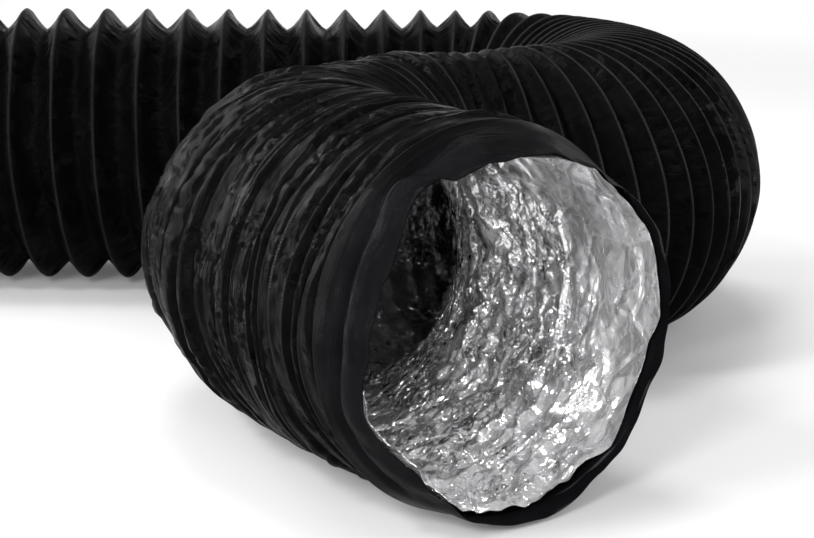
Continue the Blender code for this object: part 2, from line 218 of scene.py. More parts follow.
def march_route():
    """Run, centre and heading at every step, with the mouth at 0, 0."""
    runs = np.arange(-LEAD_STEPS, int(TOTAL_RUN / MARCH_STEP) + LEAD_STEPS) * MARCH_STEP
    turning = curvature(runs + MARCH_STEP / 2) * MARCH_STEP
    heading = math.radians(TAIL_HEADING + LEFT_BEND_ANGLE - RIGHT_BEND_ANGLE)
    headings = heading + np.concatenate(([0.0], np.cumsum(turning)[:-1]))
    middles = headings + turning / 2
    steps = np.stack((np.cos(middles), np.sin(middles)), 1) * MARCH_STEP
    centres = np.concatenate((np.zeros((1, 2)), np.cumsum(steps, 0)[:-1]))
    return runs, centres - centres[LEAD_STEPS], headings


ROUTE_RUNS, ROUTE_CENTRES, ROUTE_HEADINGS = march_route()


def anchor_route():
    """The shift to where the frame has the route, by the hinge of the mouth's swing."""
    hinge = next(joint for joint in frame["joints"] if joint["name"] == "mouth_swing")
    first, last = STRETCHES["mouth_swing"]
    middle = float(run_at(first) + run_at(last)) / 2
    here = [np.interp(middle, ROUTE_RUNS, ROUTE_CENTRES[:, axis]) for axis in range(2)]
    return np.array(hinge["pos_m"][:2]) - here


ROUTE_CENTRES = ROUTE_CENTRES + anchor_route()


def directions_at(run):
    """Forward and left directions of the duct."""
    heading = np.interp(run, ROUTE_RUNS, ROUTE_HEADINGS)
    zero = np.zeros_like(heading)
    forward = np.stack((np.cos(heading), np.sin(heading), zero), -1)
    left = np.stack((-np.sin(heading), np.cos(heading), zero), -1)
    return forward, left


def centre_at(run):
    """The point on the centreline at a run."""
    run = np.asarray(run, float)
    xy = [np.interp(run, ROUTE_RUNS, ROUTE_CENTRES[:, axis]) for axis in range(2)]
    return np.stack((*xy, np.full_like(run, AXIS_HEIGHT)), -1)


def place(run, angle, inset, ahead=0.0):
    """Points that lie inset inside the ridges' surface, and ahead along the duct."""
    forward, left = directions_at(run)
    across = (RADIUS - inset) * np.cos(angle)
    across = across * (1 - squeeze(run, across > 0))
    ahead = np.broadcast_to(ahead, run.shape)
    points = centre_at(run) + left * across[..., None] + forward * ahead[..., None]
    points[..., 2] = np.maximum(points[..., 2] + (RADIUS - inset) * np.sin(angle), 0.0)
    return points


# ---- crumples
def round_the_duct(turn, angle, around, per_turn):
    """Noise coordinates that meet all the way round.

    around is a wavelength, and per_turn a step for each turn."""
    reach = RADIUS / around
    return np.stack((reach * np.cos(angle), reach * np.sin(angle), turn * per_turn), -1)


def along_the_strip(turn, angle, along, across):
    """Noise coordinates on the one long strip of film between the wire's turns.

    along is a wavelength on the strip, and across a step from one ridge to the next."""
    share = share_of(angle)
    phase = turn - share
    strip_number = np.floor(phase)
    place_on = (strip_number + share) * FULL_ANGLE * RADIUS / along
    return np.stack((place_on, (phase - strip_number) * across, 0 * turn), -1)


def along_the_ridge(turn, angle, along):
    """Noise coordinates on the nearest ridge, the same on both its sides."""
    share = share_of(angle)
    place_on = (np.round(turn - share) + share) * FULL_ANGLE * RADIUS / along
    return np.stack((place_on, 0 * turn, 0 * turn), -1)


def wavy(points, seed):
    """Smooth noise, about -1 to 1."""
    shift = Vector((seed * 17.3, seed * 5.7, seed * 11.1))
    found = [noise.noise(shift + Vector(point)) for point in points.reshape(-1, 3).tolist()]
    return np.array(found).reshape(points.shape[:-1])


def creased(points, seed):
    """Noise that rises to sharp creases, about 0 to 1."""
    return 1 - np.minimum(1.0, 2.2 * np.abs(wavy(points, seed)))


def faceted(points, seed):
    """Noise of flat facets that meet in sharp creases, about 0 to 1."""
    shift = Vector((seed * 13.9, seed * 7.1, seed * 3.3))
    found = [
        noise.voronoi(shift + Vector(point), distance_metric="MANHATTAN")[0][0]
        for point in points.reshape(-1, 3).tolist()
    ]
    return np.array(found).reshape(points.shape[:-1])


# ---- the loose edge at the mouth
# angle in degrees: how far the film's edge lies inside the ridges, how far it stands out of the
# mouth, and how far the foil's torn edge lies back from it, in millimetres
MOUTH_EDGE = (
    (0, 9.0, 6.0, 3.0),
    (28, 10.5, 6.0, 3.0),
    (44, 10.0, 3.5, 8.0),
    (52, 6.5, 0.0, 9.0),
    (60, 10.5, 1.5, 7.0),
    (77, 11.0, 0.5, 2.0),
    (97, 11.5, 0.0, 0.6),
    (108, 8.6, 0.5, 0.5),
    (128, 8.0, 0.0, 5.0),
    (142, 3.6, 0.0, 5.5),
    (156, -0.5, 0.0, 4.0),
    (176, -2.0, 0.0, 3.6),
    (186, -2.8, 0.0, 2.0),
    (194, -2.2, 0.0, 5.5),
    (209, -2.5, 0.0, 6.5),
    (220, -2.6, 1.0, 5.0),
    (228, -2.2, 2.5, 4.0),
    (237, -1.5, 4.5, 9.0),
    (250, -0.8, 7.5, 9.5),
    (262, 0.0, 9.0, 10.0),
    (276, 0.8, 9.0, 9.0),
    (291, 4.0, 7.0, 4.5),
    (304, 8.5, 5.0, 1.6),
    (320, 10.0, 4.0, 0.4),
    (332, 7.0, 4.0, 0.4),
    (341, 5.0, 3.0, 1.0),
    (351, 6.0, 4.0, 2.0),
)
EDGE_ANGLES, EDGE_INSETS, EDGE_RUNS, FOIL_RECESSES = map(np.array, zip(*MOUTH_EDGE))
EDGE_BLUR = 5.0  # degrees over which the film's edge is eased
TAIL_FOIL_RECESS = 0.004


def round_the_edge(angle, values, blur=0.0):
    """A value from the table above in metres, eased over a few degrees where blur is given."""
    offsets = np.linspace(-blur, blur, 5) if blur else (0.0,)
    degrees = np.degrees(angle)
    found = [np.interp(degrees + offset, EDGE_ANGLES, values, period=360.0) for offset in offsets]
    return sum(found) / len(found) / 1000


def mouth_edge_run(angle):
    """Where the film ends at the mouth, without its fine unevenness."""
    return -round_the_edge(angle, EDGE_RUNS, EDGE_BLUR)


def unevenness(angle, around, seed):
    """Smooth noise along an edge, about -1 to 1."""
    return wavy(round_the_duct(angle * 0, angle, around, per_turn=0.0), seed)


def film_mouth_edge(angle):
    return mouth_edge_run(angle) + 0.0004 * unevenness(angle, around=0.012, seed=21)


def film_tail_edge(angle):
    return TOTAL_RUN + 0.0010 * unevenness(angle, around=0.03, seed=22)


def foil_mouth_edge(angle):
    torn = 0.0005 * unevenness(angle, around=0.005, seed=23)
    return film_mouth_edge(angle) + round_the_edge(angle, FOIL_RECESSES) + torn


def foil_tail_edge(angle):
    return TOTAL_RUN - TAIL_FOIL_RECESS + 0.002 * unevenness(angle, around=0.02, seed=24)


def mouth_slack(run, angle):
    """0 where the wire's first turn holds the film, and 1 at the mouth's loose edge."""
    held = CUFF_LENGTH + MOUTH_PITCH * (share_of(angle) % 1.0)
    edge = mouth_edge_run(angle)
    return np.clip((held - run) / (held - edge), 0.0, 1.0)


# ---- film
GRIP_EASE = 0.30  # turns over which the wire's two ends take hold of the film
GRIP_START = -0.05  # where that starts, from the first ridge
GRIP_END = 0.35  # and where it ends, from the last one
ROOMY = 0.006  # half width of a fold from which crumples are full size
PUFF_EASE = 0.06  # length over which puffy panels come and go

# the puffy panels
PANEL_INSET = 0.0024
PANEL_UNEVENNESS = 0.0030
PANEL_BULGE = 0.0026
PANEL_LEAN = 0.26
GROOVE_DEPTH = 0.0007  # beside every ridge
BOLD_GROOVE_DEPTH = 0.0034  # and this much more beside a bold one
GROOVE_WIDTH = 0.0013
GROOVE_DISTANCE = 0.0029  # from its ridge
CREST_HEIGHT = 0.0007
CREST_WIDTH = 0.0008

# the crumples between the ridges
VALLEY_UNEVENNESS = 0.0016
PUCKER_DEPTH = 0.0022
FOLD_CREASE_DEPTH = 0.0012
FINE_DEPTH = 0.0002
SIDE_UNEVENNESS = 0.0014
RIDGE_WOBBLE = 0.0014
BEND_WOBBLE = 0.0042  # more of it in the left bend

# the loose cuffs
CUFF_INSET = 0.0008
RUMPLE_DEPTH = 0.0030
FLUTTER_DEPTH = 0.0014
TWIST_HEIGHT = 0.0030
TWIST_ANGLE = 42.0  # degrees, at the wire's first turn
TWIST_LEAN = 20.0  # degrees from there to the edge
TWIST_FRONT = 30.0  # degrees over which it rises
TWIST_BACK = 4.0  # and falls
DENT_DEPTH = 0.0030  # of the line behind the lip, on the mouth's left
DENT_DISTANCE = 0.0112  # from the edge
DENT_WIDTH = 0.0013
LIP_HEIGHT = 0.0012
LIP_DISTANCE = 0.0050
LIP_WIDTH = 0.0040
TAIL_CUFF_INSET = 0.0016
TAIL_CUFF_UNEVENNESS = 0.0030


def fold_at(turn, angle):
    """Of the fold that a place lies in: its half width, and the distance from the nearest ridge."""
    run = run_at(turn)
    across = RADIUS * np.cos(angle)
    across = across * (1 - squeeze(run, across > 0))
    spacing = pitch_at(turn) * (1 - curvature(run) * across)
    phase = turn - share_of(angle)
    nearest = np.abs((phase + 0.5) % 1.0 - 0.5) * spacing
    return spacing / 2, nearest


def firmness(turn, angle):
    """1 where the wire holds the film, 0 in the plain cuffs past its ends."""
    share = share_of(angle) % 1.0
    from_mouth = smoothstep((turn - share - GRIP_START) / GRIP_EASE)
    return from_mouth * smoothstep((TURNS - 1 + share + GRIP_END - turn) / GRIP_EASE)


def fold_share(turn, angle):
    """What fold_at says, and 0 on a ridge to 1 in a valley, rounded where it wraps the wire."""
    half, nearest = fold_at(turn, angle)
    rounded = np.hypot(nearest, TIP_RADIUS) - TIP_RADIUS
    return half, nearest, rounded / (np.hypot(half, TIP_RADIUS) - TIP_RADIUS)


def in_left_bend(run):
    """1 from the mouth through the left bend, 0 past it."""
    return smoothstep((RIGHT_BEND_START + 0.035 - run) / PUFF_EASE)


def puffiness(run, half):
    """1 in the left bend, where the film stands out in panels, and some outside the right one."""
    right = smoothstep((run - RIGHT_BEND_START - 0.05) / PUFF_EASE)
    right = right * smoothstep((RIGHT_BEND_END - 0.02 - run) / PUFF_EASE)
    return np.maximum(in_left_bend(run), 0.6 * right * smoothstep((half - 0.0062) / 0.0025))


def puffy_panel(turn, angle, half, nearest, share, room, depth):
    """Inset of the film where it is slack: broad panels, and a groove beside the bold ridges."""
    phase = turn - share_of(angle)
    past_ridge = (phase - np.round(phase)) * 2 * half
    bold = smoothstep(0.45 + 2.2 * wavy(along_the_ridge(turn, angle, along=0.13), seed=31))
    side = np.tanh(5 * wavy(along_the_ridge(turn, angle, along=0.20), seed=32))
    uneven = wavy(round_the_duct(turn, angle, around=0.055, per_turn=0.45), seed=9)
    level = PANEL_INSET + PANEL_UNEVENNESS * uneven
    groove = GROOVE_DEPTH + BOLD_GROOVE_DEPTH * bold
    groove = groove * bell(past_ridge - GROOVE_DISTANCE * side, GROOVE_WIDTH)
    crest = CREST_HEIGHT * bold * bell(past_ridge, CREST_WIDTH)
    full = 0.6 + 0.9 * wavy(along_the_strip(turn, angle, along=0.070, across=0.0), seed=1)
    bulge = PANEL_BULGE * full * smoothstep(share * 1.2)
    lean = PANEL_LEAN * wavy(along_the_strip(turn, angle, along=0.050, across=0.0), seed=33)
    lean = lean * (phase - np.floor(phase) - 0.5) * 2 * half * smoothstep(nearest / 0.003)
    return np.minimum(level + groove - crest + (lean - bulge) * room, depth)


def crumples(turn, angle, share, free):
    """Depth of the puckers, creases and fine dents of the film, before room and puffiness."""
    patch = wavy(along_the_strip(turn, angle, along=0.050, across=0.6), seed=8)
    patch = smoothstep(0.5 + 1.8 * patch)
    lean = 0.4 * wavy(along_the_strip(turn, angle, along=0.030, across=0.5), seed=27)
    pucker = creased(along_the_strip(turn + lean, angle, along=0.0100, across=0.9), seed=2)
    fold = creased(round_the_duct(turn + 2 * lean, angle, around=0.045, per_turn=0.35), seed=10)
    fine = wavy(round_the_duct(turn, angle, around=0.0060, per_turn=1.7), seed=4)
    near_ridge = smoothstep((share - 0.10) * 2.6) * smoothstep((1.30 - share) / 0.8)
    puckers = PUCKER_DEPTH * (pucker - 0.35) * near_ridge * patch
    return puckers + FOLD_CREASE_DEPTH * (fold - 0.4) * free + FINE_DEPTH * fine * free


def cuff_inset(run, angle, slack):
    """Inset of the film where no wire holds it: drooping at the mouth, slack at the tail."""
    degrees = (np.degrees(angle) + 180.0) % 360.0 - 180.0
    droop = round_the_edge(angle, EDGE_INSETS, EDGE_BLUR) * slack ** 1.3
    rumple = creased(round_the_duct(run / 0.014, angle, around=0.034, per_turn=1.0), seed=5)
    rumple = RUMPLE_DEPTH * rumple * slack * (1 - 0.7 * slack)
    flutter = wavy(round_the_duct(run / 0.030, angle, around=0.011, per_turn=1.0), seed=25)
    flutter = FLUTTER_DEPTH * flutter * slack ** 2
    past_fold = degrees - TWIST_ANGLE - TWIST_LEAN * slack
    twist = -TWIST_HEIGHT * np.clip(1 + past_fold / TWIST_FRONT, 0.0, 1.0)
    twist = twist * (1 - smoothstep(past_fold / TWIST_BACK)) * slack
    from_edge = run - mouth_edge_run(angle) + 0.0012 * unevenness(angle, around=0.030, seed=34)
    left_side = smoothstep((np.cos(angle - math.radians(10.0)) - 0.35) / 0.3)
    dent = DENT_DEPTH * bell(from_edge - DENT_DISTANCE, DENT_WIDTH)
    dent = dent - LIP_HEIGHT * bell(from_edge - LIP_DISTANCE, LIP_WIDTH)
    tail_slack = smoothstep((run - TOTAL_RUN + CUFF_LENGTH) / CUFF_LENGTH)
    uneven = wavy(round_the_duct(run / 0.030, angle, around=0.028, per_turn=1.0), seed=15)
    tail = tail_slack * (TAIL_CUFF_INSET + TAIL_CUFF_UNEVENNESS * uneven)
    return CUFF_INSET + droop + rumple + flutter + twist + dent * left_side + tail


def ridge_wobble(turn, angle):
    """How far a ridge strays along the duct."""
    half, _ = fold_at(turn, angle)
    near = wavy(round_the_duct(turn, angle, around=0.055, per_turn=0.45), seed=6)
    near = RIDGE_WOBBLE * near * np.minimum(1.0, half / ROOMY)
    far = wavy(round_the_duct(turn, angle, around=0.11, per_turn=0.8), seed=26)
    far = BEND_WOBBLE * far * np.minimum(1.0, (half / 0.009) ** 2)
    return near + far * in_left_bend(run_at(turn))


def film_shape(turn, angle):
    """Inset of the film and how far it is moved ahead."""
    half, nearest, share = fold_share(turn, angle)
    firm = firmness(turn, angle)
    run = run_at(turn)
    slack = mouth_slack(run, angle)
    plump = puffiness(run, half)
    room = np.minimum(1.0, half / ROOMY)
    free = smoothstep(share * 1.8)

    depth = np.minimum(FOLD_DEPTH, FOLD_SLOPE * half)
    valley = depth * (1 - (1 - share) ** 1.3)
    uneven = wavy(along_the_strip(turn, angle, along=0.035, across=1.8), seed=41)
    valley = valley + VALLEY_UNEVENNESS * uneven * free * room
    puffed = puffy_panel(turn, angle, half, nearest, share, room, depth)
    inset = valley + (puffed - valley) * plump * room
    inset = inset + crumples(turn, angle, share, free) * room * (0.75 + 0.25 * plump)
    inset = inset * firm + (1 - firm) * cuff_inset(run, angle, slack)

    sideways = wavy(along_the_strip(turn, angle, along=0.014, across=1.0), seed=7)
    ahead = ridge_wobble(turn, angle) + SIDE_UNEVENNESS * sideways * free * room
    return np.maximum(inset, -0.0016 - 0.0030 * slack), ahead


# ---- foil
FOIL_GAP = 0.0006  # between film and foil
RIDGE_GAP = 0.0010  # and this much more under the ridges
STREAK_DEPTH = 0.0026
PLEAT_DEPTH = 0.0014
FACET_DEPTH = 0.0012
LONG_CREASE_DEPTH = 0.0010  # in the smooth area
SMOOTH_CRUMPLE = 0.88  # of the crumple that is gone there
SMOOTH_BRIDGING = 0.95


def foil_shape(turn, angle):
    """Inset of the foil and how far it is moved ahead. It always lies inside the film."""
    film_inset, film_ahead = film_shape(turn, angle)
    half, _, share = fold_share(turn, angle)
    run = run_at(turn)
    slack = mouth_slack(run, angle)
    above = np.maximum(np.cos(angle - math.radians(SMOOTH_FOIL_ANGLE)), 0.0)
    smooth = smoothstep((SMOOTH_FOIL_START + SMOOTH_FOIL_RUN * above - run) / 0.022)
    rough = 1 - SMOOTH_CRUMPLE * smooth

    warp = wavy(round_the_duct(turn, angle, around=0.020, per_turn=0.6), seed=14)
    streak = creased(round_the_duct(turn + warp * 0.9, angle, around=0.026, per_turn=1.9), seed=11)
    pleat = round_the_duct(turn + warp * 1.2, angle + warp * 0.10, around=0.015, per_turn=1.1)
    pleat = creased(pleat, seed=12)
    facets = round_the_duct(turn, angle + warp * 0.04, around=0.0075, per_turn=1.7)
    facets = faceted(facets, seed=13)
    crumple = STREAK_DEPTH * streak + PLEAT_DEPTH * pleat + FACET_DEPTH * facets
    long_crease = round_the_duct(run / 0.05 + 0.6 * warp, angle, around=0.040, per_turn=1.0)
    long_crease = LONG_CREASE_DEPTH * creased(long_crease, seed=16)

    gap = FILM_WALL + FOIL_GAP + RIDGE_GAP * (1 - share) ** 2 * (1 - slack) * (1 - smooth)
    # 0 where the foil follows the film into its ridges, 1 where it runs from valley to valley
    bridging = 0.40 + 0.45 * smoothstep(0.5 - 0.8 * np.cos(angle + math.radians(20.0)))
    bridging = bridging + (SMOOTH_BRIDGING - bridging) * smooth
    depth = np.minimum(FOLD_DEPTH, FOLD_SLOPE * half) * smoothstep((run - 0.006) / 0.026)
    taut = np.maximum(film_inset, film_inset + bridging * (depth - film_inset))
    return np.maximum(taut, 0.0) + gap + crumple * rough + long_crease * smooth, film_ahead


# ---- skins
EDGE_MARGIN = 0.0005  # between a stretch's end and its nearest row of points
ROW_PULL = 0.45  # how much the rows are drawn together towards the ridges
NORMAL_STEP = 0.02  # turns and radians to each side, to take a normal


def row_phase(keys, rows):
    """Turns of rows of points, drawn together towards the ridges."""
    share = keys / rows
    return share - ROW_PULL * np.sin(FULL_ANGLE * share) / FULL_ANGLE


def strip(first, second, faces):
    """Adds the faces between two columns of (key, point), matched by their keys.

    The keys of both run from minus infinity to infinity."""
    i = j = 0
    while i < len(first) - 1:
        (first_key, first_next), (second_key, second_next) = first[i + 1], second[j + 1]
        face = [first[i][1], second[j][1]]
        if second_key <= first_key:
            face.append(second_next)
            j += 1
        if first_key <= second_key:
            face.append(first_next)
            i += 1
        faces.append(tuple(face))


def lay_out(first_runs, last_runs, rows, columns):
    """Turns and angles of a stretch's points, its faces, and its first and last ring."""
    turns, angles, keyed = [], [], []
    for column in range(columns):
        share = column / columns
        low = turn_at(first_runs[column] + EDGE_MARGIN)
        high = turn_at(last_runs[column] - EDGE_MARGIN)
        low_key, high_key = math.floor((low - share) * rows), math.ceil((high - share) * rows)
        keys = np.arange(low_key - 1, high_key + 2)
        key_turns = row_phase(keys, rows) + share
        inside = (key_turns > low) & (key_turns < high)
        start = len(turns)
        turns.append(turn_at(first_runs[column]))
        turns.extend(key_turns[inside])
        turns.append(turn_at(last_runs[column]))
        angles.extend([angle_of(share)] * (len(turns) - start))
        kept = [-math.inf, *keys[inside].tolist(), math.inf]
        keyed.append([(key, start + index) for index, key in enumerate(kept)])
    faces = []
    for column in range(columns):
        following = keyed[(column + 1) % columns]
        if column == columns - 1:
            following = [(key - rows, point) for key, point in following]
        strip(keyed[column], following, faces)
    rings = [points[0][1] for points in keyed], [points[-1][1] for points in keyed]
    return np.array(turns), np.array(angles), faces, rings


def ring_runs(turn, columns, edge):
    """Runs of a stretch's end ring: a plane across the duct, or an edge of its own."""
    if turn is not None:
        return np.full(columns, float(run_at(turn)))
    return edge(FIRST_ANGLE + FULL_ANGLE * np.arange(columns) / columns)


def add_object(name, data):
    made = bpy.data.objects.new(name, data)
    bpy.context.scene.collection.objects.link(made)
    return made


def add_uv(mesh, name, corners_u, corners_v):
    layer = mesh.uv_layers.new(name=name)
    layer.uv.foreach_set("vector", np.stack((corners_u, corners_v), 1).astype(np.float32).ravel())


def unwrap(mesh, turns, angles, inset):
    """One UV map for baking, and two in metres: film counts from the ridges, lay from the mouth."""
    corner_points = np.zeros(len(mesh.loops), int)
    mesh.loops.foreach_get("vertex_index", corner_points)
    corner_counts = [len(polygon.vertices) for polygon in mesh.polygons]
    face_of_corner = np.repeat(np.arange(len(mesh.polygons)), corner_counts)
    around = share_of(np.concatenate((angles, angles)))[corner_points]
    lowest = np.full(len(mesh.polygons), 1.0)
    highest = np.zeros(len(mesh.polygons))
    np.minimum.at(lowest, face_of_corner, around)
    np.maximum.at(highest, face_of_corner, around)
    around = around + ((highest - lowest > 0.5)[face_of_corner] & (around < 0.5))
    corner_turns = np.concatenate((turns, turns))[corner_points]
    runs = run_at(corner_turns)
    _, nearest = fold_at(corner_turns, angle_of(around))
    corner_inset = np.concatenate((inset, inset))[corner_points]
    first, last = runs.min(), runs.max()
    second_half = (corner_points >= len(turns)) * 0.5
    add_uv(mesh, "OFBake", around, second_half + 0.495 * (runs - first) / (last - first))
    add_uv(mesh, "film", around * FULL_ANGLE * RADIUS, np.hypot(nearest, corner_inset))
    add_uv(mesh, "lay", around * FULL_ANGLE * RADIUS, runs)


def join_normals(mesh, shape, wall, turns, angles, rings):
    """Normals on a stretch's two rings as its neighbour has them, so that no seam shows there."""
    count = len(turns)
    normals = np.zeros((2 * count, 3))
    points = np.array(rings[0] + rings[1])
    nudges = (NORMAL_STEP, 0.0), (-NORMAL_STEP, 0.0), (0.0, NORMAL_STEP), (0.0, -NORMAL_STEP)
    for layer, sign in ((0, 1.0), (1, -1.0)):
        ends = []
        for turn_step, angle_step in nudges:
            turn, angle = turns[points] + turn_step, angles[points] + angle_step
            inset, ahead = shape(turn, angle)
            ends.append(place(run_at(turn), angle, inset + wall * layer, ahead))
        normal = np.cross(ends[2] - ends[3], ends[0] - ends[1])
        normals[points + count * layer] = sign * normal / np.linalg.norm(normal, axis=1)[:, None]
    mesh.normals_split_custom_set_from_vertices(normals.tolist())


def make_skin(name, shape, wall, ends, edges, grid):
    """A closed sheet round the duct: an outer skin, an inner one and a rim at each end.

    ends are the first and last turn, and edges the functions that stand in where one is None."""
    rows, columns = grid
    first_runs, last_runs = (ring_runs(turn, columns, edge) for turn, edge in zip(ends, edges))
    turns, angles, faces, rings = lay_out(first_runs, last_runs, rows, columns)
    count = len(turns)
    inset, ahead = shape(turns, angles)
    runs = run_at(turns)
    outer = place(runs, angles, inset, ahead)
    inner = place(runs, angles, inset + wall, ahead)
    inner_faces = [tuple(point + count for point in reversed(face)) for face in faces]
    rim_faces = []
    for ring, turned in zip(rings, (False, True)):
        for here, there in zip(ring, ring[1:] + ring[:1]):
            face = (here, here + count, there + count, there)
            rim_faces.append(tuple(reversed(face)) if turned else face)
    mesh = bpy.data.meshes.new(name)
    mesh.from_pydata(np.concatenate((outer, inner)).tolist(), [], faces + inner_faces + rim_faces)
    unwrap(mesh, turns, angles, inset)
    mesh.shade_smooth()
    join_normals(mesh, shape, wall, turns, angles, rings)
    return add_object(name, mesh)


def make_jacket(name, first, last):
    """The film of one stretch."""
    edges = film_mouth_edge, film_tail_edge
    return make_skin("film_" + name, film_shape, FILM_WALL, (first, last), edges, FILM_GRIDS[name])


def make_liner(name, first, last):
    """The foil of one stretch."""
    edges = foil_mouth_edge, foil_tail_edge
    grid = LAID_FOIL_GRID if name in LAID_NAMES else FILM_GRIDS[name]
    return make_skin("foil_" + name, foil_shape, FOIL_WALL, (first, last), edges, grid)


# ---- wire
WIRE_STEPS = 36  # for each turn
WIRE_SIDES = 8
WIRE_REACH = 0.0009  # to each side, where the film has to clear it too


def unit(vectors):
    return vectors / np.linalg.norm(vectors, axis=1)[:, None]


def make_wire(name, first, last):
    """The wire of one stretch: a round tube along the ridges, with closed ends."""
    first = 0.0 if first is None else first
    last = TURNS if last is None else last
    turns = np.linspace(first, last, int((last - first) * WIRE_STEPS) + 1)
    angles = angle_of(turns % 1.0)
    film_inset, ahead = film_shape(turns, angles)
    for step in (-WIRE_REACH, WIRE_REACH):
        beside, _ = film_shape(turns + step / (2 * fold_at(turns, angles)[0]), angles)
        film_inset = np.maximum(film_inset, beside)
    centres = place(run_at(turns), angles, film_inset + WIRE_INSET, ahead)
    outward = unit(centres - centre_at(run_at(turns)))
    sideways = np.cross(unit(np.gradient(centres, axis=0)), outward)
    rounds = FULL_ANGLE * np.arange(WIRE_SIDES) / WIRE_SIDES
    points = centres[:, None] + WIRE_RADIUS * (
        np.cos(rounds)[None, :, None] * outward[:, None]
        + np.sin(rounds)[None, :, None] * sideways[:, None]
    )
    first_ring = np.arange(WIRE_SIDES)
    faces = []
    for start in range(0, (len(turns) - 1) * WIRE_SIDES, WIRE_SIDES):
        here, there = start + first_ring, start + np.roll(first_ring, -1)
        faces += np.stack((here, there, there + WIRE_SIDES, here + WIRE_SIDES), 1).tolist()
    faces.append(first_ring[::-1].tolist())
    faces.append((first_ring + (len(turns) - 1) * WIRE_SIDES).tolist())
    mesh = bpy.data.meshes.new("wire_" + name)
    mesh.from_pydata(points.reshape(-1, 3).tolist(), [], faces)
    mesh.shade_smooth()
    return add_object("helix_" + name, mesh)


# ---- shader nodes
def feed(tree, fed, inputs):
    """Sets a node's inputs to values, or links them to sockets."""
    for socket, value in inputs.items():
        if isinstance(value, bpy.types.NodeSocket):
            tree.links.new(value, fed.inputs[socket])
        else:
            fed.inputs[socket].default_value = value


def node(tree, kind, inputs=None, **settings):
    made = tree.nodes.new(kind)
    for name, value in settings.items():
        setattr(made, name, value)
    feed(tree, made, inputs or {})
    return made


def maths(tree, operation, *values):
    return node(tree, "ShaderNodeMath", dict(enumerate(values)), operation=operation).outputs[0]


def vector_maths(tree, operation, inputs, output="Vector"):
    return node(tree, "ShaderNodeVectorMath", inputs, operation=operation).outputs[output]


def scaled(tree, vector, scale):
    return vector_maths(tree, "SCALE", {0: vector, "Scale": scale})


def product(tree, first, *others):
    for other in others:
        first = maths(tree, "MULTIPLY", first, other)
    return first


def new_material(name):
    material = bpy.data.materials.new(name)
    material.use_nodes = True
    return material, material.node_tree, material.node_tree.nodes["Principled BSDF"]


def map_of(tree, name):
    """The two coordinates of a UV map, in metres."""
    found = node(tree, "ShaderNodeUVMap", uv_map=name)
    split = node(tree, "ShaderNodeSeparateXYZ", {0: found.outputs[0]})
    return split.outputs[0], split.outputs[1]


def rolled(tree):
    """Coordinates on a straight round duct, which meet all the way round."""
    around, along = map_of(tree, "lay")
    angle = maths(tree, "DIVIDE", around, RADIUS)
    x, y = (product(tree, maths(tree, kind, angle), RADIUS) for kind in ("COSINE", "SINE"))
    return node(tree, "ShaderNodeCombineXYZ", {0: x, 1: y, 2: along}).outputs[0]


def spread(tree, value, given, wanted):
    """A value mapped from the given range to the wanted one, and held at its ends."""
    inputs = dict(enumerate((value, *given, *wanted)))
    return node(tree, "ShaderNodeMapRange", inputs).outputs[0]


def noise_of(tree, where, scale, detail, output="Fac"):
    inputs = {"Vector": where, "Scale": scale, "Detail": detail}
    return node(tree, "ShaderNodeTexNoise", inputs).outputs[output]


def wave(tree, value, period):
    return maths(tree, "SINE", maths(tree, "MULTIPLY", value, FULL_ANGLE / period))


def mixed_colour(tree, factor, first, second, blend_type="MIX"):
    """Of the Mix node, whose colours go into sockets 6 and 7 and come out of 2."""
    inputs = {0: factor, 6: first, 7: second}
    made = node(tree, "ShaderNodeMix", inputs, data_type="RGBA", blend_type=blend_type)
    return made.outputs[2]


def grey(tree, tone, blue):
    return node(tree, "ShaderNodeCombineColor", {0: tone, 1: tone, 2: blue}).outputs[0]


def facet_tilt(tree, where, scale, seed):
    """Height of a crumpled sheet: each cell is a flat facet with a tilt of its own."""
    shifted = vector_maths(tree, "ADD", {0: where, 1: (seed, seed, seed)})
    cells = node(tree, "ShaderNodeTexVoronoi", {"Vector": shifted, "Scale": scale})
    lean = vector_maths(tree, "SUBTRACT", {0: cells.outputs["Color"], 1: (0.5, 0.5, 0.5)})
    centre = scaled(tree, cells.outputs["Position"], scale)
    away = vector_maths(tree, "SUBTRACT", {0: scaled(tree, shifted, scale), 1: centre})
    return vector_maths(tree, "DOT_PRODUCT", {0: away, 1: lean}, "Value")


def crumpled(tree, where, scale, amount):
    """Coordinates bent by noise, so that the creases that follow them aren't straight."""
    warp = noise_of(tree, where, scale, 2.0, "Color")
    inputs = {0: warp, 1: (amount,) * 3, 2: (-amount / 2,) * 3}
    return vector_maths(tree, "ADD", {0: where, 1: vector_maths(tree, "MULTIPLY_ADD", inputs)})


def stretched(tree, where, along):
    """Coordinates in which lengths along the duct count for more, so that cells lie round it."""
    return vector_maths(tree, "MULTIPLY", {0: where, 1: (1.0, 1.0, along)})


def crease_heights(tree, where, scales, detail):
    """One height for each scale, which falls to sharp lines where the noise crosses its middle."""
    return [
        maths(tree, "ABSOLUTE", maths(tree, "SUBTRACT", noise_of(tree, where, scale, detail), 0.5))
        for scale in scales
    ]


def bumps(tree, *layers):
    """The normal of several heights, each given with its distance in metres, laid on each other."""
    below = {}
    for height, distance in layers:
        inputs = {"Height": height, "Strength": 1.0, "Distance": distance, **below}
        below = {"Normal": node(tree, "ShaderNodeBump", inputs).outputs[0]}
    return below["Normal"]


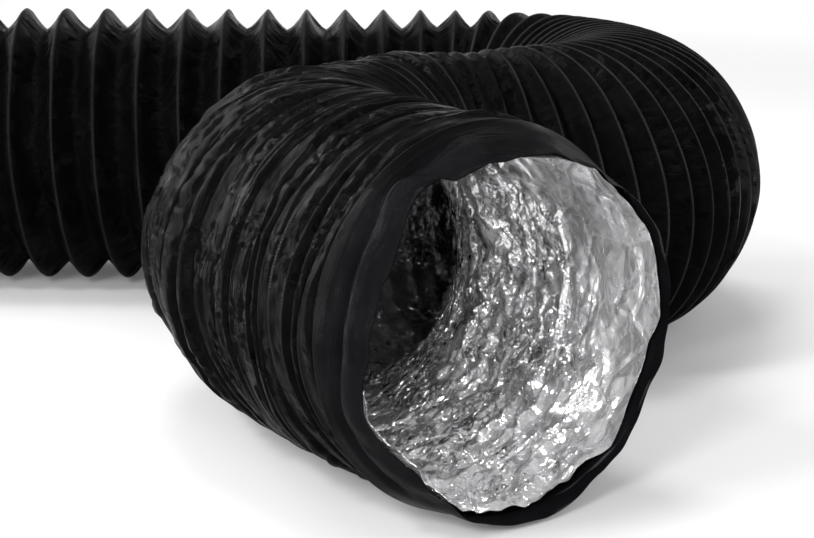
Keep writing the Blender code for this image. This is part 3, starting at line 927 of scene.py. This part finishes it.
# ---- materials
FILM_COLOUR = (0.0020, 0.0020, 0.0023, 1.0)
# paler ridges: worn film, and a painted highlight along the wire
RIDGE_WEAR_AND_HIGHLIGHT = (0.020, 0.020, 0.021, 1.0)
FILM_ROUGHNESS = (0.25, 0.14)  # from dull to glossy patches
FILM_SPECULAR = 0.018
CUFF_SHEEN = 2.6  # painted sheen: how much paler the film is painted at the mouth's lip
BACK_RIDGE_SHADE = 0.45  # painted shade: how much of the ridges' paler colour and painted highlight is left on the back run
WEAVE_PERIOD = 0.0011
STITCH_PERIOD = 0.0013
RIPPLE_PERIOD = 0.0058
FOIL_TONE = (0.88, 1.0)
FOIL_ROUGHNESS = (0.08, 0.24)
FOIL_METALLIC = 0.74
DEEP_FOIL_SHADE = 0.40  # of the foil's tone: painted shade deep in the bore
SMOOTH_FOIL_ROUGHNESS = 0.10  # added where the foil isn't crumpled
WIRE_TONE = (0.38, 0.52)
WIRE_ROUGHNESS = (0.22, 0.38)
NOISE_RANGE = (0.3, 0.7)  # that most of a noise texture lies in


def film_material():
    """Black coated film: crumpled off the ridges, woven all over, stitched along the wire, with a
    painted highlight on the ridges and a painted sheen at the mouth's lip.
    """
    material, tree, shader = new_material("film")
    around, across = map_of(tree, "film")
    _, along = map_of(tree, "lay")
    where = rolled(tree)
    patches = noise_of(tree, where, scale=38.0, detail=2.0)
    on_ridge = spread(tree, across, (0.0004, 0.0011), (1.0, 0.0))

    # painted highlight along the ridges, on worn paler film, dimmed on the back run as painted
    # shade
    back_run = (RIGHT_BEND_END - 0.03, RIGHT_BEND_END)
    lit_ridge = product(tree, on_ridge, spread(tree, along, back_run, (1.0, BACK_RIDGE_SHADE)))
    colour = mixed_colour(tree, lit_ridge, FILM_COLOUR, RIDGE_WEAR_AND_HIGHLIGHT)
    tone_and_sheen = spread(tree, patches, NOISE_RANGE, (0.7, 1.4))
    # painted sheen: the film is painted paler at the mouth's lip, over its random tone
    tone_and_sheen = product(tree, tone_and_sheen, spread(tree, along, (0.008, 0.016), (CUFF_SHEEN, 1.0)))
    shade = mixed_colour(tree, 1.0, colour, tone_and_sheen, "MULTIPLY")
    roughness = spread(tree, patches, NOISE_RANGE, FILM_ROUGHNESS)

    past_cuff = spread(tree, along, (0.018, 0.030), (0.15, 1.0))
    off_ridge = product(tree, spread(tree, across, (0.0010, 0.0040), (0.0, 1.0)), past_cuff)
    amount = spread(tree, patches, (0.45, 0.60), (0.05, 1.0))
    bent = crumpled(tree, where, scale=60.0, amount=0.012)
    large = facet_tilt(tree, bent, scale=105.0, seed=0.3)
    large = product(tree, large, off_ridge, amount)
    bent = crumpled(tree, where, scale=150.0, amount=0.005)
    small = facet_tilt(tree, bent, scale=270.0, seed=1.7)
    small = product(tree, small, amount, off_ridge)
    bent = crumpled(tree, where, scale=45.0, amount=0.016)
    coarse, fine = crease_heights(tree, bent, scales=(75.0, 170.0), detail=0.0)
    creases = maths(tree, "ADD", coarse, product(tree, fine, 0.5, amount))
    creases = product(tree, creases, off_ridge)
    diagonal, other = (maths(tree, kind, around, across) for kind in ("ADD", "SUBTRACT"))
    weave = product(tree, wave(tree, diagonal, WEAVE_PERIOD), wave(tree, other, WEAVE_PERIOD))
    stitch = product(tree, wave(tree, around, STITCH_PERIOD), on_ridge)
    slanted = maths(tree, "ADD", around, product(tree, across, 0.5))
    bend = product(tree, noise_of(tree, where, scale=60.0, detail=1.0), 0.012)
    slanted = maths(tree, "ADD", slanted, bend)
    ripple = maths(tree, "ABSOLUTE", wave(tree, slanted, 2 * RIPPLE_PERIOD))
    puckered = noise_of(tree, where, scale=27.0, detail=1.0)
    puckered = spread(tree, puckered, (0.54, 0.64), (0.0, 1.0))
    ripple = product(tree, ripple, product(tree, puckered, off_ridge))
    normal = bumps(
        tree, (large, 0.0075), (creases, 0.0042), (ripple, 0.0006), (small, 0.0016),
        (weave, 0.00006), (stitch, 0.00014),
    )

    feed(tree, shader, {"Base Color": shade, "Roughness": roughness, "Normal": normal})
    feed(tree, shader, {"Specular IOR Level": FILM_SPECULAR})
    return material


def foil_material():
    """Aluminium foil laminate: crumpled and seamed, plainer in one area at the mouth, and painted
    darker deep in the bore as shade.
    """
    material, tree, shader = new_material("foil")
    where = rolled(tree)
    around, along = map_of(tree, "lay")
    turned = FIRST_ANGLE - math.radians(SMOOTH_FOIL_ANGLE)
    angle = maths(tree, "ADD", maths(tree, "DIVIDE", around, RADIUS), turned)
    above = maths(tree, "MAXIMUM", maths(tree, "COSINE", angle), 0.0)
    reach = maths(tree, "MULTIPLY_ADD", above, SMOOTH_FOIL_RUN, SMOOTH_FOIL_START)
    rough = spread(tree, maths(tree, "SUBTRACT", along, reach), (-0.022, 0.0), (0.20, 1.0))
    loose = spread(tree, rough, (0.25, 0.90), (0.0, 1.0))

    shine = noise_of(tree, where, scale=120.0, detail=3.0)
    # painted shade: the foil is painted darker deep in the bore, and lighter again towards the
    # tail's end
    from_mouth = spread(tree, along, (0.075, 0.150), (1.0, DEEP_FOIL_SHADE))
    tail_light = (TOTAL_RUN - 0.15, TOTAL_RUN - 0.06)
    from_tail = spread(tree, along, tail_light, (DEEP_FOIL_SHADE, 1.0))
    tone = spread(tree, shine, NOISE_RANGE, FOIL_TONE)
    tone = product(tree, tone, maths(tree, "MAXIMUM", from_mouth, from_tail))
    plain = spread(tree, rough, (0.0, 1.0), (SMOOTH_FOIL_ROUGHNESS, 0.0))
    roughness = maths(tree, "ADD", spread(tree, shine, NOISE_RANGE, FOIL_ROUGHNESS), plain)

    busy = noise_of(tree, where, scale=42.0, detail=2.0)
    busy = product(tree, spread(tree, busy, (0.42, 0.60), (0.12, 1.0)), loose)
    sheet, large, middle, small = (
        facet_tilt(tree, stretched(tree, crumpled(tree, where, *bent), along_factor), scale, seed)
        for bent, along_factor, scale, seed in (
            ((24.0, 0.030), 1.8, 42.0, 3.1),
            ((50.0, 0.012), 2.5, 80.0, 0.2),
            ((90.0, 0.006), 6.0, 100.0, 1.1),
            ((300.0, 0.003), 2.0, 380.0, 2.3),
        )
    )
    large = product(tree, large, rough)
    middle = product(tree, middle, spread(tree, busy, (0.0, 1.0), (0.25, 1.0)), loose)
    small = product(tree, small, product(tree, busy, rough))
    inputs = {"Vector": crumpled(tree, where, scale=50.0, amount=0.010), "Scale": 34.0}
    seams = node(tree, "ShaderNodeTexVoronoi", inputs, feature="DISTANCE_TO_EDGE")
    seams = spread(tree, seams.outputs["Distance"], (0.0, 0.07), (0.0, 1.0))
    bent = crumpled(tree, stretched(tree, where, along=1.5), scale=40.0, amount=0.022)
    coarse, fine = crease_heights(tree, bent, scales=(60.0, 150.0), detail=1.0)
    creases = maths(tree, "ADD", coarse, product(tree, fine, 0.5))
    normal = bumps(
        tree, (large, 0.0040), (sheet, 0.0060), (creases, 0.0022), (middle, 0.0024),
        (small, 0.0022), (seams, 0.0005),
    )

    colour = grey(tree, tone, maths(tree, "MULTIPLY", tone, 1.01))
    feed(tree, shader, {"Base Color": colour, "Roughness": roughness, "Normal": normal})
    feed(tree, shader, {"Metallic": FOIL_METALLIC})
    return material


def wire_material():
    """Bare spring steel."""
    material, tree, shader = new_material("wire")
    where = node(tree, "ShaderNodeTexCoord").outputs["Object"]
    grain = noise_of(tree, where, scale=900.0, detail=3.0)
    tone = spread(tree, grain, NOISE_RANGE, WIRE_TONE)
    roughness = spread(tree, grain, NOISE_RANGE, WIRE_ROUGHNESS)
    feed(tree, shader, {"Base Color": grey(tree, tone, tone), "Roughness": roughness})
    feed(tree, shader, {"Metallic": 1.0})
    return material


# ---- the object
# name of a stretch: the body that carries it, or the two bodies that it lies between
BODIES = {
    "mouth_end": "mouth_tip",
    "mouth_swing": ("mouth_reach", "mouth_tip"),
    "mouth_stretch": ("laid_run", "mouth_reach"),
    "back_run": ("laid_run", "tail_reach"),
    "tail_stretch": ("laid_run", "tail_reach"),
    "tail_swing": ("tail_reach", "tail_tip"),
    "tail_end": "tail_tip",
}
# the turns over which the tail's draw would be shared: over fewer, they would fold over each other
# when pushed in
TAIL_GIVE = (61.0, STRETCHES["tail_stretch"][1])


def carry(piece, name, first, last):
    """Joins a piece to the body that moves it; a piece that lies between two bodies only has its
    place baked into its mesh.
    """
    bodies = BODIES.get(name, "laid_run")
    if isinstance(bodies, str):
        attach(piece, bodies)
        return
    if bodies[1] == "tail_reach":
        first, last = TAIL_GIVE
    ends = centre_at(run_at(first)), centre_at(run_at(last))
    if name.startswith("mouth"):
        ends = ends[::-1]
    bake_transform(piece)


def dress():
    """Makes every stretch of every layer, in place of its CAD node."""
    layers = {
        "jacket": (make_jacket, film_material()),
        "wire": (make_wire, wire_material()),
        "liner": (make_liner, foil_material()),
    }
    for name, (first, last) in STRETCHES.items():
        for layer, (make, material) in layers.items():
            piece = make(name, first, last)
            piece.data.materials.append(material)
            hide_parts(f"{layer}_{name}")
            carry(piece, name, first, last)


# ---- studio
CAMERA_PLACE = (0.1821, -0.9031, 0.2628)
CAMERA_HEADING = 92.17
CAMERA_PITCH = -13.46
FOCAL_PIXELS = 1942.27
PHOTO_WIDTH = 814

LAMP_AIM = (0.05, 0.0, 0.06)
# name: place, width and height, watts
LAMPS = {
    "key": ((-0.45, -1.55, 1.05), (0.45, 0.45), 14.5),
    "front": ((0.50, -1.60, 0.80), (0.40, 0.40), 6.0),
    "top": ((0.0, 0.2, 1.6), (0.6, 0.4), 9.0),
    "left": ((-1.25, 0.32, 0.42), (0.36, 0.32), 15.5),
    "left_front": ((-1.25, -0.75, 0.45), (0.28, 0.36), 5.0),
    "high_left": ((-0.81, -0.70, 1.20), (0.26, 0.26), 9.0),
    "left_rim": ((-0.84, 0.95, 0.62), (0.34, 0.26), 6.0),
    "right": ((1.35, 0.45, 0.40), (0.30, 0.30), 6.0),
}
WHITE = (1.0, 1.0, 1.0, 1.0)
WORLD_STRENGTH = 0.55
WORLD_OVERHEAD = 0.35  # of white, for reflections

FLOOR_REACH = 1.7
FLOOR_CORNERS = ((-1, -1), (1, -1), (1, 1), (-1, 1))
FLOOR_FADE = (0.8, 1.5)  # distances from the middle over which it goes clear
FLOOR_COLOUR = (0.68, 0.68, 0.68, 1.0)
FLOOR_LIFT = 0.08  # light that only the camera sees on it
FLOOR_DROP = 0.0003  # below the duct's underside


def add_camera():
    """The photograph's camera."""
    data = bpy.data.cameras.new("camera")
    data.sensor_width = 36.0
    data.lens = data.sensor_width * FOCAL_PIXELS / PHOTO_WIDTH
    camera = add_object("camera", data)
    heading, pitch = math.radians(CAMERA_HEADING), math.radians(CAMERA_PITCH)
    level = math.cos(pitch)
    aim = Vector((math.cos(heading) * level, math.sin(heading) * level, math.sin(pitch)))
    camera.location = CAMERA_PLACE
    camera.rotation_euler = aim.to_track_quat("-Z", "Y").to_euler()
    bpy.context.scene.camera = camera


def add_softbox(name, place_at, size, power):
    """An area lamp aimed at the duct, which the camera doesn't see."""
    data = bpy.data.lights.new(name, "AREA")
    data.shape = "RECTANGLE"
    data.size, data.size_y = size
    data.energy = power
    lamp = add_object(name, data)
    lamp.visible_camera = False
    lamp.location = place_at
    aim = Vector(LAMP_AIM) - Vector(place_at)
    lamp.rotation_euler = aim.to_track_quat("-Z", "Y").to_euler()


def add_world():
    """Soft even light, and white past the floor, which reflections see dimmer overhead."""
    world = bpy.data.worlds.new("studio")
    world.use_nodes = True
    tree = world.node_tree
    tree.nodes.clear()
    path = node(tree, "ShaderNodeLightPath")
    seen = maths(tree, "MAXIMUM", path.outputs["Is Camera Ray"], path.outputs["Is Glossy Ray"])
    seen = maths(tree, "MAXIMUM", seen, path.outputs["Is Transmission Ray"])
    even = node(tree, "ShaderNodeBackground", {"Color": WHITE, "Strength": WORLD_STRENGTH})
    direction = node(tree, "ShaderNodeTexCoord").outputs["Generated"]
    height = node(tree, "ShaderNodeSeparateXYZ", {0: direction}).outputs["Z"]
    dimmed = spread(tree, height, (0.0, 0.22), (1.0, WORLD_OVERHEAD))
    graded = maths(tree, "MAXIMUM", dimmed, path.outputs["Is Camera Ray"])
    white = node(tree, "ShaderNodeBackground", {"Color": WHITE, "Strength": graded})
    mixed = node(tree, "ShaderNodeMixShader", {0: seen, 1: even.outputs[0], 2: white.outputs[0]})
    node(tree, "ShaderNodeOutputWorld", {0: mixed.outputs[0]})
    bpy.context.scene.world = world


def add_floor():
    """A pale floor that keeps the shadow and fades into the white around it."""
    data = bpy.data.meshes.new("floor")
    corners = [(x * FLOOR_REACH, y * FLOOR_REACH, 0) for x, y in FLOOR_CORNERS]
    data.from_pydata(corners, [], [(0, 1, 2, 3)])
    material, tree, shader = new_material("floor")
    feed(tree, shader, {"Base Color": FLOOR_COLOUR, "Roughness": 0.9, "Specular IOR Level": 0.0})
    where = node(tree, "ShaderNodeTexCoord").outputs["Object"]
    far = spread(tree, vector_maths(tree, "LENGTH", {0: where}, "Value"), FLOOR_FADE, (0.0, 1.0))
    path = node(tree, "ShaderNodeLightPath")
    lift = product(tree, path.outputs["Is Camera Ray"], FLOOR_LIFT)
    lift = node(tree, "ShaderNodeEmission", {"Strength": lift})
    lit = node(tree, "ShaderNodeAddShader", {0: shader.outputs[0], 1: lift.outputs[0]})
    clear = node(tree, "ShaderNodeBsdfTransparent")
    mixed = node(tree, "ShaderNodeMixShader", {0: far, 1: lit.outputs[0], 2: clear.outputs[0]})
    feed(tree, tree.nodes["Material Output"], {"Surface": mixed.outputs[0]})
    data.materials.append(material)
    floor = add_object("floor", data)
    floor.location.z = -FLOOR_DROP


def main():
    """Builds the duct and its studio."""
    add_camera()
    dress()
    add_world()
    add_floor()
    for name, (place_at, size, power) in LAMPS.items():
        add_softbox(name, place_at, size, power)
    bpy.context.scene.view_settings.view_transform = "Standard"
    bpy.context.view_layer.update()


main()
